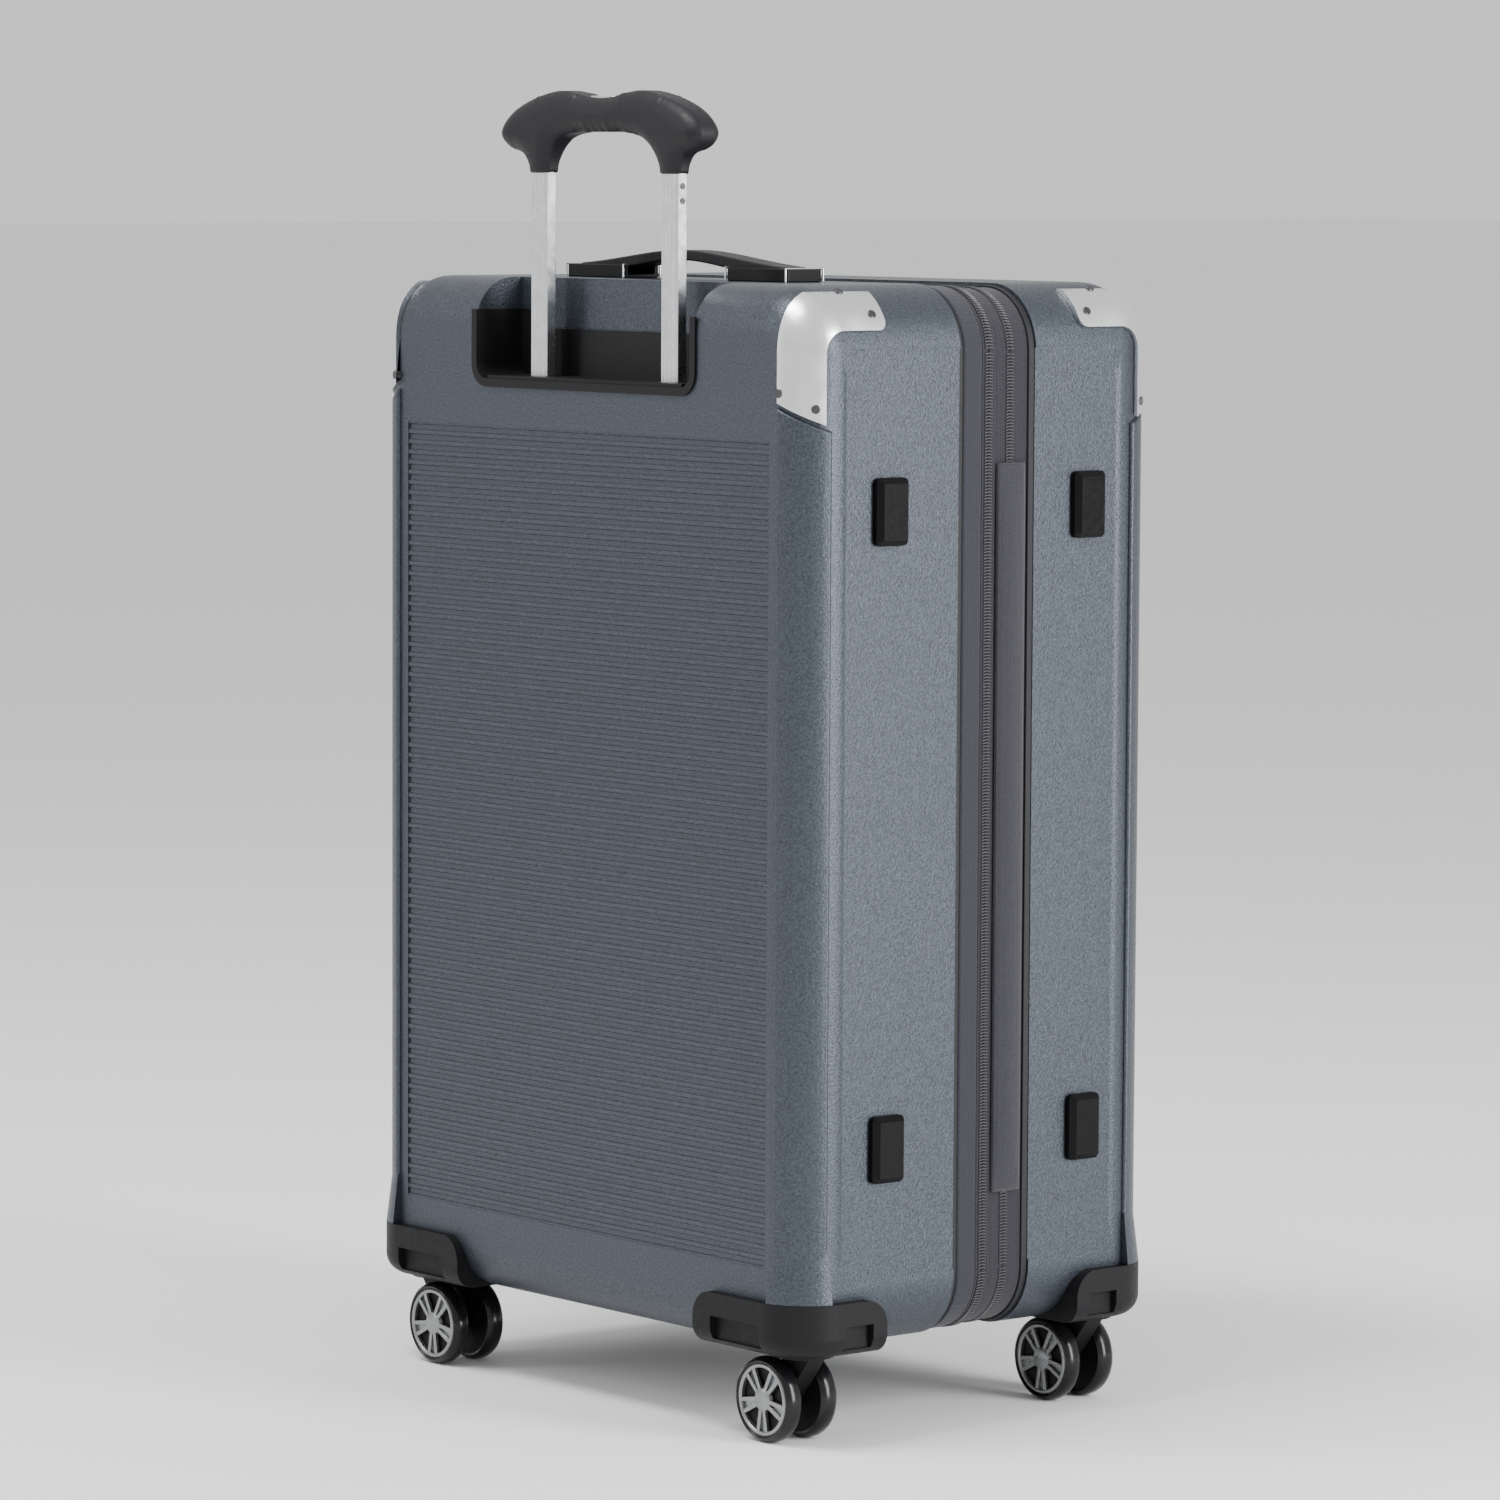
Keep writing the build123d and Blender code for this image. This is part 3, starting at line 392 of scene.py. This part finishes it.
def grooved_tube(bm, centre_x, centre_y, half_x, half_y, low, high):
    """A drawn tube, closed at its ends, with three grooves down its outer face."""
    face_line = [(-half_x + tube_corner, half_y)]
    for place in groove_places:
        groove_floor = half_y - tube_groove * groove_share
        face_line += [(place - tube_groove, half_y), (place - tube_groove / 2, groove_floor),
                      (place + tube_groove / 2, groove_floor), (place + tube_groove, half_y)]
    face_line += [(half_x - tube_corner, half_y), (half_x, half_y - tube_corner),
                  (half_x, -half_y + tube_corner), (half_x - tube_corner, -half_y),
                  (-half_x + tube_corner, -half_y), (-half_x, -half_y + tube_corner),
                  (-half_x, half_y - tube_corner)]
    verts = [bm.verts.new((centre_x + x, centre_y + y, low)) for x, y in face_line]
    floor_face = bm.faces.new(verts)
    grown = bmesh.ops.extrude_face_region(bm, geom=[floor_face])
    upper = [item for item in grown["geom"] if isinstance(item, bmesh.types.BMVert)]
    bmesh.ops.translate(bm, verts=upper, vec=(0, 0, high - low))


inner_low, inner_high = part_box("handle_inner_tubes")
tube_half_x = tube_width / 2
tube_half_y = (inner_high.y - inner_low.y) / 2
bm = bmesh.new()
for centre_x in (inner_low.x + tube_half_x, inner_high.x - tube_half_x):
    grooved_tube(bm, centre_x, (inner_low.y + inner_high.y) / 2, tube_half_x, tube_half_y,
                 inner_low.z, inner_high.z)
bmesh.ops.recalc_face_normals(bm, faces=bm.faces)
tubes = as_object(bm, "handle_inner_tubes_finished", 20)
add_finish(tubes, tube_metal, "handle_inner")
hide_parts("handle_inner_tubes")
finished_copy("handle_grip_screws", dark_metal)
finished_copy("handle_button", polished, bevel=0.001)

grip_voxel = 0.0014
grip_rounding = 0.0125        # the section is an oval that is full depth this far in from its outline
oval_edge = 0.3               # its depth at the outline, against the full depth
leg_half_depth = 0.0075       # a leg's skirt, against the whole depth above the legs
leg_height = 0.03
smooth_passes = 6
rim_band = 0.0005             # corners this near to the blank's two faces give its outline

bm = bmesh.new()
bm.from_mesh(nodes["handle_grip"].data)
bmesh.ops.remove_doubles(bm, verts=bm.verts, dist=same_corner)
blank = as_object(bm, "grip_blank", 180)
voxels = blank.modifiers.new("voxels", "REMESH")
voxels.mode = "VOXEL"
voxels.voxel_size = grip_voxel
moulded = blank.evaluated_get(bpy.context.evaluated_depsgraph_get()).to_mesh()
bm = bmesh.new()
bm.from_mesh(moulded)

grip_low, grip_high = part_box("handle_grip")
grip_middle = (grip_low.y + grip_high.y) / 2
grip_half = (grip_high.y - grip_low.y) / 2
leg_share = leg_half_depth / grip_half
rim = [vert.co for vert in blank.data.vertices if abs(vert.co.y - grip_middle) > grip_half - rim_band]
outline = KDTree(len(rim))
for number, place in enumerate(rim):
    outline.insert((place.x, 0, place.z), number)
outline.balance()
for vert in bm.verts:
    inside = outline.find((vert.co.x, 0, vert.co.z))[2]
    share = min(inside / grip_rounding, 1.0)
    oval = oval_edge + (1 - oval_edge) * math.sqrt(1 - (1 - share) ** 2)
    lift = min(max((vert.co.z - grip_low.z) / leg_height, 0.0), 1.0)
    taper = leg_share + (1 - leg_share) * lift * lift * (3 - 2 * lift)
    vert.co.y = grip_middle + (vert.co.y - grip_middle) * oval * taper
for turn in range(smooth_passes):
    bmesh.ops.smooth_vert(bm, verts=bm.verts, factor=0.5, use_axis_x=True, use_axis_y=True,
                          use_axis_z=True)
bpy.data.objects.remove(blank)
grip = as_object(bm, "handle_grip_finished", 180)
add_finish(grip, soft_touch, "handle_inner")
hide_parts("handle_grip")


# ---------------------------------------------------------------- carry handles
# Arched soft handles on the top and on the lock side. Each end slides in a moulded block
# with a thin bright edge line.
for node in ("top_handle", "side_handle"):
    finished_copy(node, soft_touch, bevel=0.0012)
finished_copy("carry_handle_mounts", cup_plastic, bevel=0.0007)

edge_line = 0.0007
top_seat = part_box("back_shell")[1].z
top_low, top_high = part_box("top_handle")
mount_y = (top_low.y + top_high.y) / 2
mount_half_y = 0.016
mount_rise = 0.009
mount_reach = 0.0093          # a mount goes this far beyond the handle's end
mount_inner = 0.056           # from the handle's middle to the mount's inner end
line_foot = 0.0006
middle_x = (top_low.x + top_high.x) / 2
line_places = (top_high.x + mount_reach, middle_x + mount_inner,
               top_low.x - mount_reach, middle_x - mount_inner)
outer_y = mount_half_y + edge_line / 2
corners = [(-outer_y, line_foot), (-outer_y, mount_rise), (outer_y, mount_rise), (outer_y, line_foot)]
bm = bmesh.new()
for x_line in line_places:
    for (y_a, z_a), (y_b, z_b) in zip(corners, corners[1:]):
        span = Vector((0, y_b - y_a, z_b - z_a))
        centre = Vector((x_line, mount_y + (y_a + y_b) / 2, top_seat + (z_a + z_b) / 2))
        along = span.to_track_quat("Z", "Y").to_matrix().to_4x4()
        bmesh.ops.create_cone(bm, cap_ends=True, segments=8, radius1=edge_line, radius2=edge_line,
                              depth=span.length + edge_line, matrix=Matrix.Translation(centre) @ along)
lines = as_object(bm, "carry_mount_edge_lines", 50)
add_finish(lines, polished, "root")


# ---------------------------------------------------------------- lock
# A moulded combination lock let into the lid's side, with three dials and a push button.
finished_copy("lock_body", cup_plastic, bevel=0.0006)
for number in (1, 2, 3):
    finished_copy(f"lock_dial_{number}", dark_metal, bevel=0.0004)
finished_copy("lock_button", polished, bevel=0.0004)


# ---------------------------------------------------------------- wheel housings and casters
# Charcoal moulded corners that carry the casters. Each caster has a slanting strut between
# two wheels with glossy tyres and gunmetal five-spoke covers on their outer faces.
housing_plastic = new_material("housing_plastic", (0.008, 0.008, 0.009, 1), 0.42, gloss=0.16)
vary_roughness(housing_plastic, 0.003, 0.44, 0.58)
add_bump(housing_plastic, object_noise(housing_plastic, 0.0006), "Fac", 0.2, 0.0001)
tyre_rubber = new_material("tyre_rubber", (0.006, 0.006, 0.007, 1), 0.2, gloss=0.3)
vary_roughness(tyre_rubber, 0.004, 0.16, 0.3)
cap_metal = new_material("gunmetal_cap", (0.27, 0.275, 0.28, 1), 0.3, 0.85)
vary_roughness(cap_metal, 0.002, 0.24, 0.4)
hub_black = new_material("wheel_black", (0.006, 0.006, 0.006, 1), 0.5, gloss=0.2)
vary_roughness(hub_black, 0.003, 0.4, 0.6)

for corner in ("back_left", "back_right", "front_left", "front_right"):
    finished_copy(f"wheel_housing_{corner}", housing_plastic, bevel=0.0008)
    finished_copy(f"caster_fork_{corner}", housing_plastic, bevel=0.0006)
    finished_copy(f"caster_axle_{corner}", dark_metal)

tyre_radius = 0.029
wheel_width = 0.014
bead_radius = 0.0246          # where the tyre meets the disc
shoulder_radius = 0.0278
hub_radius = 0.0078
bore_radius = 0.0031
cover_bevel = 0.0003
spoke_count = 5
spoke_start = math.radians(18)
spoke_split = math.radians(9.5)
spoke_size = (0.0160, 0.0026, 0.0030)
web_size = (0.0150, 0.0012, 0.0050)


def turned_part(bm, outline, segments=72):
    """Spins an outline of (radius, along the axle) round the local Y axis."""
    verts = [bm.verts.new((radius, along, 0)) for radius, along in outline]
    edges = [bm.edges.new((a, b)) for a, b in zip(verts, verts[1:] + verts[:1])]
    bmesh.ops.spin(bm, geom=verts + edges, cent=(0, 0, 0), axis=(0, 1, 0), angle=math.tau, steps=segments,
                   use_merge=True, use_duplicate=False)


def bar(bm, size, place, turn):
    bmesh.ops.create_cube(bm, size=1.0, matrix=turn @ Matrix.Translation(place) @ Matrix.Diagonal((*size, 1)))


def wheel_meshes():
    """One wheel about the origin with its outer face towards +Y: tyre, black disc, cover."""
    half = wheel_width / 2
    tyre = bmesh.new()
    outer_half = [(bead_radius, half - 0.0012), (0.0262, half - 0.0003), (shoulder_radius, half - 0.0014),
                  (tyre_radius, half - 0.0042)]
    turned_part(tyre, outer_half + [(radius, -along) for radius, along in reversed(outer_half)])
    disc = bmesh.new()
    turned_part(disc, [(bead_radius, half - 0.004), (bead_radius, -half + 0.0016), (0.012, -half + 0.0016),
                       (0.0105, -half + 0.0006), (bore_radius, -half + 0.0006), (bore_radius, half - 0.005)])
    cover_bm = bmesh.new()
    turned_part(cover_bm, [(0.0214, half - 0.0012), (0.0222, half - 0.0003), (0.0236, half - 0.0003),
                           (0.0245, half - 0.0012), (0.0245, half - 0.0040), (0.0214, half - 0.0040)])
    turned_part(cover_bm, [(0.0001, half - 0.0004), (0.0066, half - 0.0004), (hub_radius, half - 0.0011),
                           (0.0088, half - 0.0038), (0.0001, half - 0.0038)], 48)
    for number in range(spoke_count):
        turn = Matrix.Rotation(number * math.tau / spoke_count + spoke_start, 4, "Y")
        for lean in (-spoke_split, spoke_split):
            slant = Matrix.Rotation(lean, 4, "Y")
            bar(cover_bm, spoke_size, (0.0146, half - 0.0022, -math.copysign(0.0006, lean)), turn @ slant)
        bar(cover_bm, web_size, (0.0142, half - 0.0036, 0), turn)
    return tyre, disc, cover_bm


for corner in ("back_left", "back_right", "front_left", "front_right"):
    for word in ("outer", "inner"):
        node = f"wheel_{corner}_{word}"
        low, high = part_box(node)
        facing = 1 if corner.startswith("back") == (word == "outer") else -1
        place = Matrix.Translation((low + high) / 2) @ Matrix.Rotation(0 if facing > 0 else math.pi, 4, "Z")
        names = ("tyre", "disc", "cover")
        finishes = (tyre_rubber, hub_black, cap_metal)
        for name, material, bm in zip(names, finishes, wheel_meshes()):
            bmesh.ops.remove_doubles(bm, verts=bm.verts, dist=0.000005)
            bmesh.ops.transform(bm, matrix=place, verts=bm.verts)
            bmesh.ops.recalc_face_normals(bm, faces=bm.faces)
            piece = as_object(bm, f"{node}_{name}", 35)
            if name == "cover":
                round_edges(piece, cover_bevel)
            add_finish(piece, material, body_of_node[node])
            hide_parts(node)


# ---------------------------------------------------------------- floor and light
# A plain pale studio floor that runs into the background, a broad soft light from the
# hinge side, a weaker one from the handle's side, one from above and an even white surround.
floor_reach = 60.0
surround_strength = 0.9
lights_aim = Vector((0, 0, 0.42))

floor_data = bpy.data.meshes.new("floor")
floor_bm = bmesh.new()
bmesh.ops.create_grid(floor_bm, x_segments=1, y_segments=1, size=floor_reach)
floor_bm.to_mesh(floor_data)
floor_bm.free()
floor = bpy.data.objects.new("floor", floor_data)
bpy.context.scene.collection.objects.link(floor)
floor_paint = bpy.data.materials.new("white_floor")
floor_paint.use_nodes = True
floor_paint.node_tree.nodes.remove(floor_paint.node_tree.nodes["Principled BSDF"])
floor_matt = add_node(floor_paint, "ShaderNodeBsdfDiffuse", Color=(0.9, 0.9, 0.9, 1))
join(floor_paint, floor_matt, "BSDF", floor_paint.node_tree.nodes["Material Output"], "Surface")
floor.data.materials.append(floor_paint)

world = bpy.data.worlds.new("studio")
world.use_nodes = True
surround = world.node_tree.nodes["Background"]
surround.inputs["Color"].default_value = (1, 1, 1, 1)
surround.inputs["Strength"].default_value = surround_strength
bpy.context.scene.world = world


def soft_light(name, place, size, power):
    data = bpy.data.lights.new(name, "AREA")
    data.shape = "RECTANGLE"
    data.size, data.size_y = size
    data.energy = power
    light = bpy.data.objects.new(name, data)
    bpy.context.scene.collection.objects.link(light)
    light.location = place
    light.rotation_euler = (lights_aim - Vector(place)).to_track_quat("-Z", "Y").to_euler()


soft_light("key", (-3.2, -0.9, 1.2), (1.0, 2.6), 170)
soft_light("fill", (1.9, 3.0, 1.9), (0.7, 2.4), 30)
soft_light("overhead", (0.2, 1.3, 3.2), (1.6, 0.8), 80)


# ---------------------------------------------------------------- camera
# The case stands turned three quarters from behind, seen from a little above through a
# long lens, so that its upright edges stay nearly parallel.
camera_azimuth = math.radians(230.69)
camera_roll = math.radians(0.29)
camera_pitch = math.radians(5.14)
camera_distance = 4.614
camera_aside = -0.0061
camera_height = 0.8576
camera_lens = 159.8
sensor_width = 36.0
farthest_seen = 200.0

back = Vector((math.sin(camera_azimuth), -math.cos(camera_azimuth), 0))
right = Vector((math.cos(camera_azimuth), math.sin(camera_azimuth), 0))
rise = Vector((0, 0, 1))
look = -back * math.cos(camera_pitch) - rise * math.sin(camera_pitch)
over = rise * math.cos(camera_pitch) - back * math.sin(camera_pitch)
across = right * math.cos(camera_roll) + over * math.sin(camera_roll)
upward = over * math.cos(camera_roll) - right * math.sin(camera_roll)
camera_data = bpy.data.cameras.new("camera")
camera_data.lens = camera_lens
camera_data.sensor_width = sensor_width
camera_data.clip_end = farthest_seen
camera = bpy.data.objects.new("camera", camera_data)
bpy.context.scene.collection.objects.link(camera)
turned = Matrix((across, upward, -look)).transposed().to_4x4()
shell_low, shell_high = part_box("back_shell")
shell_middle = Vector(((shell_low.x + shell_high.x) / 2, 0, 0))
turned.translation = shell_middle + back * camera_distance + right * camera_aside + rise * camera_height
camera.matrix_world = turned
bpy.context.scene.camera = camera
